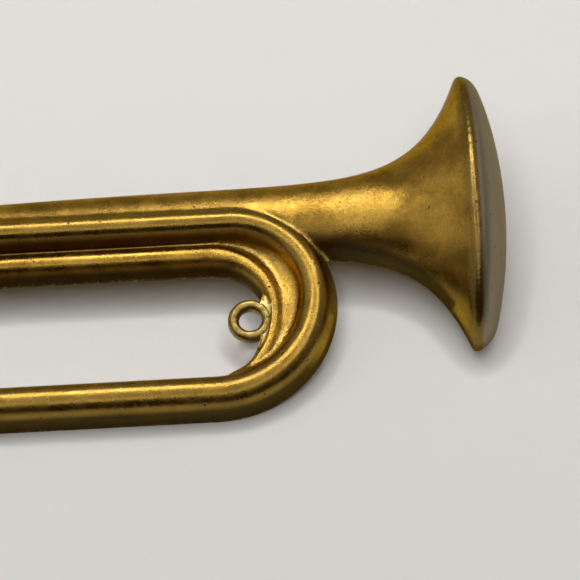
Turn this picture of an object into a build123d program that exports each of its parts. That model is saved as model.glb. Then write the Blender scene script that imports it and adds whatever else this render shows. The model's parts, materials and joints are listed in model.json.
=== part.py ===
"""Bugle-shaped brooch: a die-struck brass shell with a hollow back.

Millimetres, +Z up. The brooch lies face up, and the pin fittings that stand out behind it reach down to
z = 0. The bugle runs along X, with its mouthpiece at -X and its bell at +X, and the origin is under the
middle of its box. The struck form is made on z = 0 and then lifted, so its trim edge is at z = LIFT.
"""
from build123d import *
import os
from math import acos, atan2, cos, exp, hypot, pi, radians, sin

# Shell
WALL = 0.50
LIFT = 3.30                # from the lowest of the pin fittings up to the trim edge
TOP_CLEAR = 12.0           # taller than anything here, for cutting prisms

# Loop: one ridge that goes right round, with sloped sides down to the trim edge
LOOP_MID_X = -2.13
LOOP_MID_Y = -4.70
LOOP_HALF_LENGTH = 26.665  # to the ridge's centre-line
LOOP_HALF_WIDTH = 6.52
BEND_CENTRE_UP = 0.616     # both arcs of a bend are centred this far above the middle line
RIDGE_CREST_R = 1.15
RIDGE_CREST_Z = 1.32
RIDGE_HALF_BASE = 1.56

# Second, lower ridge inside the loop
INNER_Y = -0.32
INNER_BEND_Y = -4.80
INNER_HALF_LENGTH = 24.565
INNER_LOWER_R = 6.02
INNER_LOWER_SWEEP = 72.0
INNER_CREST_R = 0.91
INNER_CREST_Z = 0.385
INNER_HALF_BASE = 1.54
WINDOW_CORNER_R = 2.03

# Bell tube and flare: half ellipses about the bell's axis
BELL_Y = 2.13
TUBE_START_X = -22.86
TUBE_START_R = 1.33
TUBE_FULL_X = 18.0         # the tube's half-width eases up to here
TUBE_R = 2.73
TUBE_FLATNESS = 0.715      # height over half-width, along the tube
TUBE_STEPS = 6
FLARE_START_X = 22.0
RIM_X = 35.25
RIM_FLARE = 7.70           # growth of the half-width from tube to rim
RIM_FLARE_LENGTH = 2.78
RIM_RISE = 3.70            # growth of the height from tube to rim
RIM_RISE_LENGTH = 4.20
FLARE_STEPS = 12
BEAD_SWELL = 0.22          # how far the rolled rim stands out sideways
BEAD_RISE = 0.136
MOUTH_R = 34.0             # trim edge of the domed mouth, seen from above
MOUTH_APEX_X = 38.29
MOUTH_CORNER_R = 1.9
MOUTH_CORNER_OUT = 0.2     # the corner's arc would end this far outside the rolled rim
MOUTH_LEAN = 2.1           # how far the dome leans back by the top of its height
MOUTH_HEIGHT = 7.0

# Mouthpipe and mouthpiece
PIPE_SCALE = 0.95          # against the loop's ridge
PIPE_START_X = -21.0
PIPE_END_X = -34.6
PIPE_Y = LOOP_MID_Y + LOOP_HALF_WIDTH
COLLAR_SCALE = 1.12
COLLAR = 1.2
SHANK_SCALE = 0.72
SHANK_END_X = -36.1
CUP_SCALE = 1.28
CUP_RIM_SCALE = 1.38
RIM_BAND = 0.6
CUP_END_X = -38.29

# Cord rings inside the loop's bends
RING_X = 19.93
RING_Y = -5.55
RING_Z = LIFT + 0.62
RING_HOLE_R = 0.79
RING_OUTER_R = 1.575
RING_THICKNESS = 1.0
RING_EDGE_R = 0.34
BLOB_OUT = 1.25            # the brazing's middle, from the ring's
BLOB_DOWN = 0.25
BLOB_HALF = (0.85, 1.75)
BLOB_BOTTOM = RING_Z - 0.44
BLOB_HEIGHT = 0.66

# Pin fittings, which stand out of the hollow back
PIN_R = 0.32
PIN_POINT_R = 0.06
PIN_TAPER = 3.6
PIN_Y = 1.86
HINGE_X = -19.5
HINGE_Z = 0.52
CATCH_X = 33.0
CATCH_Z = 1.00
SIDE_PLAY = 0.04
RUNNING_FIT = 0.05
EYE_R = 0.50
EYE_WIDTH = 0.50
RIVET_R = 0.20
RIVET_HEAD_R = 0.30
RIVET_HEAD = 0.12
EAR_THICKNESS = 0.28
EAR_R = 0.52
HINGE_BASE_LENGTH = 2.2
HINGE_BASE_TOP = LIFT + 1.52
HINGE_BASE_BOTTOM = LIFT + 1.22
CATCH_LENGTH = 1.0
CATCH_BORE_R = 0.85
CATCH_OUTER_R = 1.22
CATCH_MOUTH = 1.5
ROTOR_BORE_R = 0.42
ROTOR_SLOT = 0.80
FLANGE_R = 1.05
FLANGE = 0.25
THUMB_REACH = 1.95
THUMB_WIDTH = 0.75
BRIDGE_Z = LIFT + 0.25     # underside of the strip that carries the catch
BRIDGE_THICKNESS = 0.40
BRIDGE_WIDTH = 2.2
SOLDER_OUT = 4.6           # from the bell's axis to each solder bead under the strip
SOLDER_LENGTH = 1.5
SOLDER_WIDTH = 2.0
SOLDER_DEPTH = 0.22
FOOT_WIDTH = 1.8


def ridge_face(crest_r, crest_z, half_base):
    """Section of a ridge: sloped sides that run tangent into a round crest."""
    slope = acos(crest_r / hypot(half_base, crest_z)) - atan2(crest_z, half_base)
    side = (crest_r * cos(slope), crest_z + crest_r * sin(slope))
    other = (-side[0], side[1])
    outline = Line((-half_base, 0), (half_base, 0)) + Line((half_base, 0), side)
    outline += ThreePointArc(side, (0, crest_z + crest_r), other)
    outline += Line(other, (-half_base, 0))
    return make_face(outline)


def straight_run(face, x_start, x_end, y):
    """The section pushed along X."""
    section = Plane(origin=(x_start, y, 0), x_dir=(0, 1, 0), z_dir=(1, 0, 0)) * face
    return extrude(section, amount=x_end - x_start, dir=(1, 0, 0))


def bend(face, centre, radius, start, sweep):
    """The section turned about a vertical axis."""
    out = (cos(radians(start)), sin(radians(start)), 0)
    foot = (centre[0] + radius * out[0], centre[1] + radius * out[1], 0)
    section = Plane(origin=foot, x_dir=out, z_dir=(out[1], -out[0], 0)) * face
    return revolve(section, axis=Axis((centre[0], centre[1], 0), (0, 0, 1)), revolution_arc=sweep)


def both_ends(solid):
    """A solid and its mirror image at the loop's other end."""
    return [solid, mirror(solid, about=Plane.YZ.offset(LOOP_MID_X))]


def loop_ridge(inset):
    """The ridge round the loop, or the hollow under it when inset by the wall."""
    face = ridge_face(RIDGE_CREST_R - inset, RIDGE_CREST_Z, RIDGE_HALF_BASE - 1.05 * inset)
    middle = LOOP_MID_Y + BEND_CENTRE_UP
    upper_r = LOOP_HALF_WIDTH - BEND_CENTRE_UP
    lower_r = LOOP_HALF_WIDTH + BEND_CENTRE_UP
    upper_x = LOOP_HALF_LENGTH - upper_r
    lower_x = LOOP_HALF_LENGTH - lower_r
    pieces = [straight_run(face, LOOP_MID_X - upper_x, LOOP_MID_X + upper_x, LOOP_MID_Y + LOOP_HALF_WIDTH)]
    pieces += [straight_run(face, LOOP_MID_X - lower_x, LOOP_MID_X + lower_x, LOOP_MID_Y - LOOP_HALF_WIDTH)]
    pieces += both_ends(bend(face, (LOOP_MID_X + upper_x, middle), upper_r, 0, 90))
    pieces += both_ends(bend(face, (LOOP_MID_X + lower_x, middle), lower_r, -90, 90))
    return pieces


def loop_inside():
    """A tall prism inside the loop's centre-line, where the bell tube doesn't reach."""
    middle = LOOP_MID_Y + BEND_CENTRE_UP
    upper_r = LOOP_HALF_WIDTH - BEND_CENTRE_UP
    lower_r = LOOP_HALF_WIDTH + BEND_CENTRE_UP
    top = LOOP_MID_Y + LOOP_HALF_WIDTH
    bottom = LOOP_MID_Y - LOOP_HALF_WIDTH
    ends = [LOOP_MID_X - LOOP_HALF_LENGTH, LOOP_MID_X + LOOP_HALF_LENGTH]
    outline = Line((ends[0] + upper_r, top), (ends[1] - upper_r, top))
    outline += CenterArc((ends[1] - upper_r, middle), upper_r, 0, 90)
    outline += CenterArc((ends[1] - lower_r, middle), lower_r, -90, 90)
    outline += Line((ends[1] - lower_r, bottom), (ends[0] + lower_r, bottom))
    outline += CenterArc((ends[0] + lower_r, middle), lower_r, 180, 90)
    outline += CenterArc((ends[0] + upper_r, middle), upper_r, 90, 90)
    return extrude(make_face(outline), amount=TOP_CLEAR)


def lower_window(margin):
    """The lower half of the loop's opening, which trims the inner ridge's tail."""
    half = INNER_HALF_LENGTH - INNER_HALF_BASE + margin
    bottom = LOOP_MID_Y - LOOP_HALF_WIDTH + RIDGE_HALF_BASE - margin
    height = INNER_BEND_Y - bottom
    rectangle = Rectangle(2 * half, 2 * height)
    outline = fillet(rectangle.vertices(), WINDOW_CORNER_R)
    prism = extrude(Pos(LOOP_MID_X, INNER_BEND_Y, 0) * outline, amount=TOP_CLEAR)
    return prism & Pos(LOOP_MID_X, INNER_BEND_Y - TOP_CLEAR, 0) * Box(4 * half, 2 * TOP_CLEAR, 3 * TOP_CLEAR)


def inner_ridge(inset):
    """The low ridge inside the loop's upper run and bends."""
    face = ridge_face(INNER_CREST_R - inset, INNER_CREST_Z, INNER_HALF_BASE - 1.45 * inset)
    upper_r = INNER_Y - INNER_BEND_Y
    upper_x = INNER_HALF_LENGTH - upper_r
    lower_x = INNER_HALF_LENGTH - INNER_LOWER_R
    tail_centre = (LOOP_MID_X + lower_x, INNER_BEND_Y)
    tail = bend(face, tail_centre, INNER_LOWER_R, -INNER_LOWER_SWEEP, INNER_LOWER_SWEEP)
    pieces = [straight_run(face, LOOP_MID_X - upper_x, LOOP_MID_X + upper_x, INNER_Y)]
    pieces += both_ends(bend(face, (LOOP_MID_X + upper_x, INNER_BEND_Y), upper_r, 0, 90))
    pieces += both_ends(tail - lower_window(inset))
    return pieces


def tube_half_width(x):
    """Half the width of the tube alone, which eases out to its full size."""
    left = max(0.0, 1 - (x - TUBE_START_X) / (TUBE_FULL_X - TUBE_START_X))
    return TUBE_R - (TUBE_R - TUBE_START_R) * left * left


def flared_section(x, inset):
    """The bell's section at a station along X, or the hollow's when inset by the wall."""
    spread = RIM_FLARE * exp((x - RIM_X) / RIM_FLARE_LENGTH)
    climb = RIM_RISE * exp((x - RIM_X) / RIM_RISE_LENGTH)
    half_width = tube_half_width(x) + spread - inset * hypot(1, spread / RIM_FLARE_LENGTH)
    height = TUBE_FLATNESS * tube_half_width(x) + climb - inset * hypot(1, climb / RIM_RISE_LENGTH)
    return half_ellipse(x, half_width, height)


def half_ellipse(x, half_width, height):
    """A half ellipse that stands across the bell's axis on z = 0."""
    arc = EllipticalCenterArc((0, 0), half_width, height, start_angle=0, arc_size=180)
    face = make_face(arc + Line((-half_width, 0), (half_width, 0)))
    return Plane(origin=(x, BELL_Y, 0), x_dir=(0, 1, 0), z_dir=(1, 0, 0)) * face


def bell(inset):
    """Bell tube, flare and rolled rim, cut off by the domed mouth."""
    stations = []
    for step in range(TUBE_STEPS):
        stations.append(TUBE_START_X + (FLARE_START_X - TUBE_START_X) * step / TUBE_STEPS)
    for step in range(FLARE_STEPS + 1):
        share = step / FLARE_STEPS
        stations.append(FLARE_START_X + (RIM_X - FLARE_START_X) * share * (1.6 - 0.6 * share))
    form = loft([flared_section(x, inset) for x in stations], ruled=True)
    half_width = TUBE_R + RIM_FLARE + BEAD_SWELL - inset
    height = TUBE_FLATNESS * TUBE_R + RIM_RISE + BEAD_RISE - inset
    start = RIM_X + inset
    form += extrude(half_ellipse(start, half_width, height), amount=MOUTH_APEX_X - start + 0.5, dir=(1, 0, 0))
    return (form & mouth_plan(inset)) - beyond_mouth(inset) - loop_inside()


def mouth_plan(inset):
    """A tall prism that ends in the mouth's arc, with a round corner at each tip of the rim."""
    half_width = TUBE_R + RIM_FLARE + BEAD_SWELL + MOUTH_CORNER_OUT - inset
    band = Pos(MOUTH_APEX_X - MOUTH_R, 0) * Rectangle(4 * MOUTH_R, 2 * half_width)
    outline = band & Pos(MOUTH_APEX_X - MOUTH_R, 0) * Circle(MOUTH_R - inset)
    tips = outline.vertices().filter_by_position(Axis.X, FLARE_START_X, MOUTH_APEX_X)
    outline = fillet(tips, MOUTH_CORNER_R - inset)
    behind = Pos(TUBE_START_X, 0) * Rectangle(2 * MOUTH_R, 2 * half_width)
    return extrude(Pos(0, BELL_Y, 0) * (outline + behind), amount=TOP_CLEAR)


def beyond_mouth(inset):
    """Everything past the domed mouth, which leans back a little towards its top."""
    centre_x = MOUTH_APEX_X - MOUTH_R
    foot = MOUTH_R - inset
    middle = (foot - 0.28 * MOUTH_LEAN, 0.5 * MOUTH_HEIGHT)
    top = (foot - MOUTH_LEAN, MOUTH_HEIGHT)
    outline = Spline((foot, 0), middle, top, tangents=[(0, 1), (-1, 1)])
    outline += Line(top, (0, MOUTH_HEIGHT)) + Line((0, MOUTH_HEIGHT), (0, 0)) + Line((0, 0), (foot, 0))
    section = Plane(origin=(0, 0, 0), x_dir=(1, 0, 0), z_dir=(0, -1, 0)) * make_face(outline)
    dome = Pos(centre_x, BELL_Y, 0) * revolve(section, axis=Axis.Z, revolution_arc=360)
    ahead = Pos(FLARE_START_X + 20, BELL_Y, 0) * Box(40, 60, 4 * TOP_CLEAR)
    return ahead - dome


def scaled_ridge(scale, inset):
    """The loop ridge's section at another size."""
    half_base = scale * RIDGE_HALF_BASE - 1.05 * inset
    return ridge_face(scale * RIDGE_CREST_R - inset, scale * RIDGE_CREST_Z, half_base)


def mouthpipe(inset):
    """Straight pipe from the loop's upper run to the mouthpiece, with a collar at its end."""
    pieces = [straight_run(scaled_ridge(PIPE_SCALE, inset), PIPE_END_X + inset, PIPE_START_X, PIPE_Y)]
    if inset == 0:
        collar = scaled_ridge(COLLAR_SCALE, 0)
        pieces.append(straight_run(collar, PIPE_END_X - 0.2, PIPE_END_X + COLLAR, PIPE_Y))
    return pieces


def mouthpiece(inset):
    """Narrow shank, flared cup and rim."""
    end = CUP_END_X + inset
    shank = straight_run(scaled_ridge(SHANK_SCALE, inset), SHANK_END_X - 0.1, PIPE_END_X + 2 * WALL, PIPE_Y)
    sections = []
    for share in (0, 0.25, 0.5, 0.75, 1):
        x = SHANK_END_X + (CUP_END_X + RIM_BAND - SHANK_END_X) * share
        scale = SHANK_SCALE + (CUP_SCALE - SHANK_SCALE) * share * share * (3 - 2 * share)
        plane = Plane(origin=(x, PIPE_Y, 0), x_dir=(0, 1, 0), z_dir=(1, 0, 0))
        sections.append(plane * scaled_ridge(scale, inset))
    pieces = [shank, loft(sections)]
    if inset == 0:
        pieces.append(straight_run(scaled_ridge(CUP_RIM_SCALE, 0), end, end + RIM_BAND, PIPE_Y))
    return pieces


def relief(inset):
    """The whole struck form, or the hollow behind it when inset by the wall."""
    form = bell(inset)
    for piece in loop_ridge(inset) + inner_ridge(inset) + mouthpipe(inset) + mouthpiece(inset):
        form += piece
    return form


def cord_ring():
    """A ring of half-hard wire, flattened a little, with a straight land in its hole."""
    section = RectangleRounded(RING_OUTER_R - RING_HOLE_R, RING_THICKNESS, RING_EDGE_R)
    upright = Plane.XZ * Pos((RING_OUTER_R + RING_HOLE_R) / 2, 0) * section
    return Pos(RING_X, RING_Y, RING_Z) * revolve(upright, axis=Axis.Z, revolution_arc=360)


def ring_solder(ring):
    """Solder that fills the corner between a ring and the inner ridge's side."""
    outline = Pos(RING_X + BLOB_OUT, RING_Y - BLOB_DOWN, BLOB_BOTTOM) * Ellipse(*BLOB_HALF)
    blob = extrude(outline, amount=BLOB_HEIGHT)
    bore = Pos(RING_X, RING_Y, 0) * Cylinder(RING_HOLE_R + 0.2, TOP_CLEAR)
    return blob - bore - ring


def across(x, y, z, radius, length):
    """A cylinder along Y."""
    return Pos(x, y, z) * Rot(90, 0, 0) * Cylinder(radius, length)


def along(x, y, z, radius, length):
    """A cylinder along X, from x towards +X."""
    return Pos(x + length / 2, y, z) * Rot(0, 90, 0) * Cylinder(radius, length)


def hinge_bracket(hollow):
    """A folded strip soldered to the roof of the upper run's hollow, with two ears that reach out of it."""
    inside = EYE_WIDTH / 2 + SIDE_PLAY
    outside = inside + EAR_THICKNESS
    rise = HINGE_BASE_TOP - HINGE_BASE_BOTTOM
    bracket = Pos(HINGE_X, PIN_Y, HINGE_BASE_BOTTOM + rise / 2) * Box(HINGE_BASE_LENGTH, 2 * outside, rise)
    bracket = bracket & hollow
    height = HINGE_BASE_BOTTOM + rise / 2 - HINGE_Z
    for side in (-1, 1):
        y = PIN_Y + side * (inside + EAR_THICKNESS / 2)
        bracket += Pos(HINGE_X, y, HINGE_Z + height / 2) * Box(2 * EAR_R, EAR_THICKNESS, height)
        bracket += across(HINGE_X, y, HINGE_Z, EAR_R, EAR_THICKNESS)
    return bracket - across(HINGE_X, PIN_Y, HINGE_Z, RIVET_R, 4 * outside)


def hinge_solder(hollow, bracket):
    """Solder between the bracket and the roof of the hollow."""
    pool = Pos(HINGE_X, PIN_Y, HINGE_BASE_TOP + 0.5) * Box(0.8 * HINGE_BASE_LENGTH, 2.0, 1.0)
    return (pool & hollow) - bracket


def hinge_rivet():
    """The rivet through both ears and the stem's eye, headed at each end."""
    reach = EYE_WIDTH / 2 + SIDE_PLAY + EAR_THICKNESS
    rivet = across(HINGE_X, PIN_Y, HINGE_Z, RIVET_R, 2 * reach)
    for side in (-1, 1):
        rivet += across(HINGE_X, PIN_Y + side * (reach + RIVET_HEAD / 2), HINGE_Z, RIVET_HEAD_R, RIVET_HEAD)
    return rivet


def pin_stem():
    """A flattened eye, a round stem and a ground point that stops inside the catch."""
    tip_x = CATCH_X + CATCH_LENGTH / 2 - 0.1
    climb = atan2(CATCH_Z - HINGE_Z, CATCH_X - HINGE_X)
    length = (tip_x - HINGE_X) / cos(climb)
    neck = EAR_R + 0.12
    stem = along(neck, 0, 0, PIN_R, length - neck - PIN_TAPER)
    stem += Pos(length - PIN_TAPER / 2, 0, 0) * Rot(0, 90, 0) * Cone(PIN_R, PIN_POINT_R, PIN_TAPER)
    stem += Pos(neck / 2 + 0.1, 0, 0) * Box(neck + 0.2, EYE_WIDTH, 1.8 * PIN_R)
    stem += across(0, 0, 0, EYE_R, EYE_WIDTH)
    stem -= across(0, 0, 0, RIVET_R + RUNNING_FIT, 2 * EYE_WIDTH)
    return Pos(HINGE_X, PIN_Y, HINGE_Z) * Rot(0, -climb * 180 / pi, 0) * stem


def catch_bridge(hollow):
    """A brass strip across the bell's hollow that carries the catch."""
    strip = Pos(CATCH_X, BELL_Y, BRIDGE_Z + BRIDGE_THICKNESS / 2) * Box(BRIDGE_WIDTH, 30, BRIDGE_THICKNESS)
    return strip & hollow


def catch_bridge_solder(hollow):
    """A bead of solder under each end of the strip."""
    beads = []
    for side in (-1, 1):
        middle = (CATCH_X, BELL_Y + side * SOLDER_OUT, BRIDGE_Z - SOLDER_DEPTH / 2)
        bead = Pos(*middle) * Box(SOLDER_LENGTH, SOLDER_WIDTH, SOLDER_DEPTH)
        beads.append((bead & hollow).solids()[0])
    return Compound(children=beads)


def catch_body():
    """The C of the catch, open downwards, with a foot on the strip."""
    start = CATCH_X - CATCH_LENGTH / 2
    foot = BRIDGE_Z - CATCH_Z - CATCH_BORE_R
    body = along(start, PIN_Y, CATCH_Z, CATCH_OUTER_R, CATCH_LENGTH)
    body += Pos(CATCH_X, PIN_Y, BRIDGE_Z - foot / 2) * Box(CATCH_LENGTH, FOOT_WIDTH, foot)
    body -= along(start - 1, PIN_Y, CATCH_Z, CATCH_BORE_R, CATCH_LENGTH + 2)
    return body - Pos(CATCH_X, PIN_Y, CATCH_Z - 2) * Box(2 * CATCH_LENGTH, CATCH_MOUTH, 4)


def catch_rotor():
    """The slotted sleeve that turns in the catch, flanged at each end, with a thumb tab."""
    start = CATCH_X - CATCH_LENGTH / 2 - SIDE_PLAY
    end = CATCH_X + CATCH_LENGTH / 2 + SIDE_PLAY
    rotor = along(start, PIN_Y, CATCH_Z, CATCH_BORE_R - RUNNING_FIT, end - start)
    rotor += along(start - FLANGE, PIN_Y, CATCH_Z, FLANGE_R, FLANGE)
    rotor += along(end, PIN_Y, CATCH_Z, FLANGE_R, FLANGE)
    tab = Pos(end + FLANGE / 2, PIN_Y - THUMB_REACH / 2, CATCH_Z) * Box(FLANGE, THUMB_REACH, THUMB_WIDTH)
    rotor += tab
    rotor -= along(start - 1, PIN_Y, CATCH_Z, ROTOR_BORE_R, end - start + 2)
    return rotor - Pos(CATCH_X, PIN_Y, CATCH_Z - 2) * Box(4, ROTOR_SLOT, 4)


def build():
    """Every piece by name."""
    form = Pos(0, 0, LIFT) * relief(0)
    hollow = Pos(0, 0, LIFT) * relief(WALL)
    ring = cord_ring() - form
    solder = ring_solder(ring) - form
    bracket = hinge_bracket(hollow)
    return {
        "front_shell": form - hollow,
        "cord_ring_bell_end": ring,
        "cord_ring_mouthpiece_end": mirror(ring, about=Plane.YZ.offset(LOOP_MID_X)),
        "ring_solder_bell_end": solder,
        "ring_solder_mouthpiece_end": mirror(solder, about=Plane.YZ.offset(LOOP_MID_X)),
        "hinge_bracket": bracket,
        "hinge_solder": hinge_solder(hollow, bracket),
        "hinge_rivet": hinge_rivet(),
        "pin_stem": pin_stem(),
        "catch_bridge": catch_bridge(hollow),
        "catch_bridge_solder": catch_bridge_solder(hollow),
        "catch_body": catch_body(),
        "catch_rotor": catch_rotor(),
    }


os.makedirs("parts", exist_ok=True)
for name, shape in build().items():
    export_step(shape, f"parts/{name}.step")
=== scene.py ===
"""Looks of the bugle brooch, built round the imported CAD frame. Forms are worked out in millimetres over
the shell's trim plane, then lifted to their place in the frame and turned into metres."""
import json
import math

import bmesh
import bpy
import numpy as np
from mathutils import Matrix, Vector, noise


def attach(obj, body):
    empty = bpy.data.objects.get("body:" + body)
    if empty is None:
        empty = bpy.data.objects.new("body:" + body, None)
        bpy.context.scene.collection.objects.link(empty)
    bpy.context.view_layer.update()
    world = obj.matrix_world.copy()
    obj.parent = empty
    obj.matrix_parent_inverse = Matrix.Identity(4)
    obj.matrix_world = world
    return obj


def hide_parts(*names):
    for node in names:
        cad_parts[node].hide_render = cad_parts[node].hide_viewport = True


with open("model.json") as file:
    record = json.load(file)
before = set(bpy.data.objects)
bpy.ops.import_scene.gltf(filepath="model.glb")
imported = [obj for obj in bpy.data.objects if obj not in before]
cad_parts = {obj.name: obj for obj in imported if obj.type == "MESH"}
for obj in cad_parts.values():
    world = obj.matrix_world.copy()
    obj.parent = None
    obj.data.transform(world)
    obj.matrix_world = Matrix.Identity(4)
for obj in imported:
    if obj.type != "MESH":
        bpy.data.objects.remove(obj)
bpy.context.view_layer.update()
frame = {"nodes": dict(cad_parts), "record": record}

MM = 0.001

# Shell
WALL = 0.5
LIFT = 3.30                # the trim edge's height over the lowest of the pin fittings
SINK = 1.0                 # forms are made this deep under the trim plane, then cut off at it
SKIN_VOXEL = 0.15
BACK_VOXEL = 0.30          # the hollow back is softer than the front
SOFTEN = 3                 # smoothing passes over each skin
SIDE_INSET = 1.05          # how far a ridge's sloped sides move in, for each millimetre of inset
SLAB_HALF = (60.0, 30.0)   # of the block that cuts the shell off at the trim plane
SLAB_DEPTH = 4.0
CREST_STEPS = 22           # points over a ridge's crest
CROWN_ROWS = 48            # sections along each quarter of the loop's bends
RUN_ROWS = 60              # and along each straight run

# Loop ridge
LOOP_MID = (-2.13, -4.70)
LOOP_HALF_LENGTH = 26.665
LOOP_HALF_WIDTH = 6.52
BEND_UP = 0.616
UPPER_RIDGE = (0.92, 1.45, 1.58)      # crest radius, crest centre's height, half the base
LOWER_RIDGE = (1.28, 1.20, 1.53)
PIPE_Y = LOOP_MID[1] + LOOP_HALF_WIDTH

# Inner ridge, and the trough between it and the loop ridge
INNER_TOP_R = 4.48
INNER_TAIL_R = 6.02
INNER_BEND_Y = -4.80
INNER_REACH = 23.72
INNER_TAIL_SWEEP = math.radians(70)
INNER_RIDGE = (0.86, 0.385, 1.44)
BEND_SIDE = 0.50                      # share of its inner side's width that is left in the bend
TAIL_SIDE = 0.34
TAIL_ROWS = 40
BEND_ROWS = 44
TROUGH_REACH = 24.70
TROUGH_HALF = 0.95
TROUGH_Z = (0.45, 1.12)               # along the straight run, and in the bends
TROUGH_LIFT = 0.06                    # its outer edge over its inner one
TROUGH_DIP = 0.16
TROUGH_STEPS = 10

# Bell
BELL_Y = 2.13
TUBE_START_X = -22.86
TUBE_START_R = 1.33
TUBE_FULL_X = 18.0
TUBE_R = 2.78
TUBE_FLATNESS = 0.70
TUBE_OVERLAP = 0.3                    # how far the tube runs into the head
TUBE_ROWS = 90
TUBE_STEPS = 40
RIM_X = 35.25
RIM_FLARE = 7.66
RIM_FLARE_LENGTH = 2.84
RIM_RISE = 3.55
RIM_RISE_LENGTH = 4.2
HEAD_START_X = 23.0
ROLL_START_X = 35.21                  # the flare's edge rolls over from here at its two tips
ROLL_BOW = 0.36                       # and this much further out along the top
ROLL_R = 0.46
ROLL_DOWN = math.radians(42)          # slope the roll ends with, where the dome starts
BACK_ROLL = 0.4                       # the hollow's roll, as a share of the front's
BACK_ROLL_OUT = 0.3                   # share of the difference by which it starts further out
RIM_SWELL = 0.24
MOUTH_R = 34.0
MOUTH_APEX_X = 38.25
MOUTH_CORNER_R = 1.9
MOUTH_CORNER_OUT = 0.2                # the corner's arc ends this far outside the rim
DOME_BULGE = 1.1                      # 1 would be an ellipse
HEAD_COLUMNS = 110
FLARE_ROWS = 60
FLARE_BUNCHING = 1.6                  # the rows crowd together towards the rim
ROLL_ROWS = 18
DOME_ROWS = 24
HAIR = 0.01                           # the least the dome stands out past the roll

# Mouthpiece, as sizes of the loop ridge's section
PIPE_SCALE = 0.95
PIPE_START_X = -21.0
PIPE_END_X = -34.6
COLLAR_SCALE = 1.12
COLLAR_LENGTH = 1.2
SHANK_SCALE = 0.72
SHANK_END_X = -36.1
CUP_SCALE = 1.28
CUP_RIM_SCALE = 1.38
RIM_BAND = 0.6
CUP_END_X = -38.29
CUP_ROWS = 14
SHANK_BITE = 0.1                      # how far the shank runs into the cup
COLLAR_BITE = 0.2                     # how far the collar stands past the pipe's end


def new_object(name, verts, faces):
    """A mesh object from millimetre points."""
    mesh = bpy.data.meshes.new(name)
    mesh.from_pydata([tuple(v) for v in verts], [], faces)
    mesh.update()
    obj = bpy.data.objects.new(name, mesh)
    bpy.context.scene.collection.objects.link(obj)
    return obj


def apply_modifiers(obj):
    """Puts the modifiers' result into the object's own mesh."""
    bpy.context.view_layer.update()
    evaluated = obj.evaluated_get(bpy.context.evaluated_depsgraph_get())
    mesh = bpy.data.meshes.new_from_object(evaluated)
    obj.modifiers.clear()
    old = obj.data
    obj.data = mesh
    bpy.data.meshes.remove(old)


def fix_normals(obj):
    """Turns every face of a closed mesh outwards."""
    mesh = bmesh.new()
    mesh.from_mesh(obj.data)
    bmesh.ops.recalc_face_normals(mesh, faces=mesh.faces)
    mesh.to_mesh(obj.data)
    mesh.free()


def ramp(values, start, end):
    """0 before start and 1 past end, with a smooth rise between them. Start may be the larger."""
    share = np.clip((values - start) / (end - start), 0, 1)
    return share * share * (3 - 2 * share)


def ridge_section(shape, scale, inset):
    """Outline of a ridge across its run: sloped sides into a round crest, and down to the sunk base."""
    radius = shape[0] * scale - inset
    centre = shape[1] * scale
    half = shape[2] * scale - SIDE_INSET * inset
    start = math.acos(radius / math.hypot(half, centre)) - math.atan2(centre, half)
    points = [(half, -SINK), (half, 0.0)]
    for step in range(CREST_STEPS + 1):
        angle = start + (math.pi - 2 * start) * step / CREST_STEPS
        points.append((radius * math.cos(angle), centre + radius * math.sin(angle)))
    return np.array(points + [(-half, 0.0), (-half, -SINK)])


def arc_points(centre, radius, start, end, steps):
    """Places and outward directions along an arc, its last point left out."""
    rows = []
    for step in range(steps):
        angle = start + (end - start) * step / steps
        out = (math.cos(angle), math.sin(angle))
        rows.append((centre[0] + radius * out[0], centre[1] + radius * out[1], out[0], out[1]))
    return rows


def line_points(start, end, out, steps):
    """Places and outward directions along a straight run, its last point left out."""
    rows = []
    for step in range(steps):
        share = step / steps
        rows.append((start[0] + (end[0] - start[0]) * share, start[1] + (end[1] - start[1]) * share, *out))
    return rows


def loop_path():
    """The loop's centre-line, once round, anticlockwise from the right-hand crown."""
    upper_r = LOOP_HALF_WIDTH - BEND_UP
    lower_r = LOOP_HALF_WIDTH + BEND_UP
    middle = LOOP_MID[1] + BEND_UP
    bottom = LOOP_MID[1] - LOOP_HALF_WIDTH
    upper_x = LOOP_HALF_LENGTH - upper_r
    lower_x = LOOP_HALF_LENGTH - lower_r
    right, left = LOOP_MID[0] + upper_x, LOOP_MID[0] - upper_x
    low_right, low_left = LOOP_MID[0] + lower_x, LOOP_MID[0] - lower_x
    quarter = math.pi / 2
    rows = arc_points((right, middle), upper_r, 0, quarter, CROWN_ROWS)
    rows += line_points((right, PIPE_Y), (left, PIPE_Y), (0, 1), RUN_ROWS)
    rows += arc_points((left, middle), upper_r, quarter, 2 * quarter, CROWN_ROWS)
    rows += arc_points((low_left, middle), lower_r, 2 * quarter, 3 * quarter, CROWN_ROWS)
    rows += line_points((low_left, bottom), (low_right, bottom), (0, -1), RUN_ROWS)
    rows += arc_points((low_right, middle), lower_r, 3 * quarter, 4 * quarter, CROWN_ROWS)
    return np.array(rows)


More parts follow.
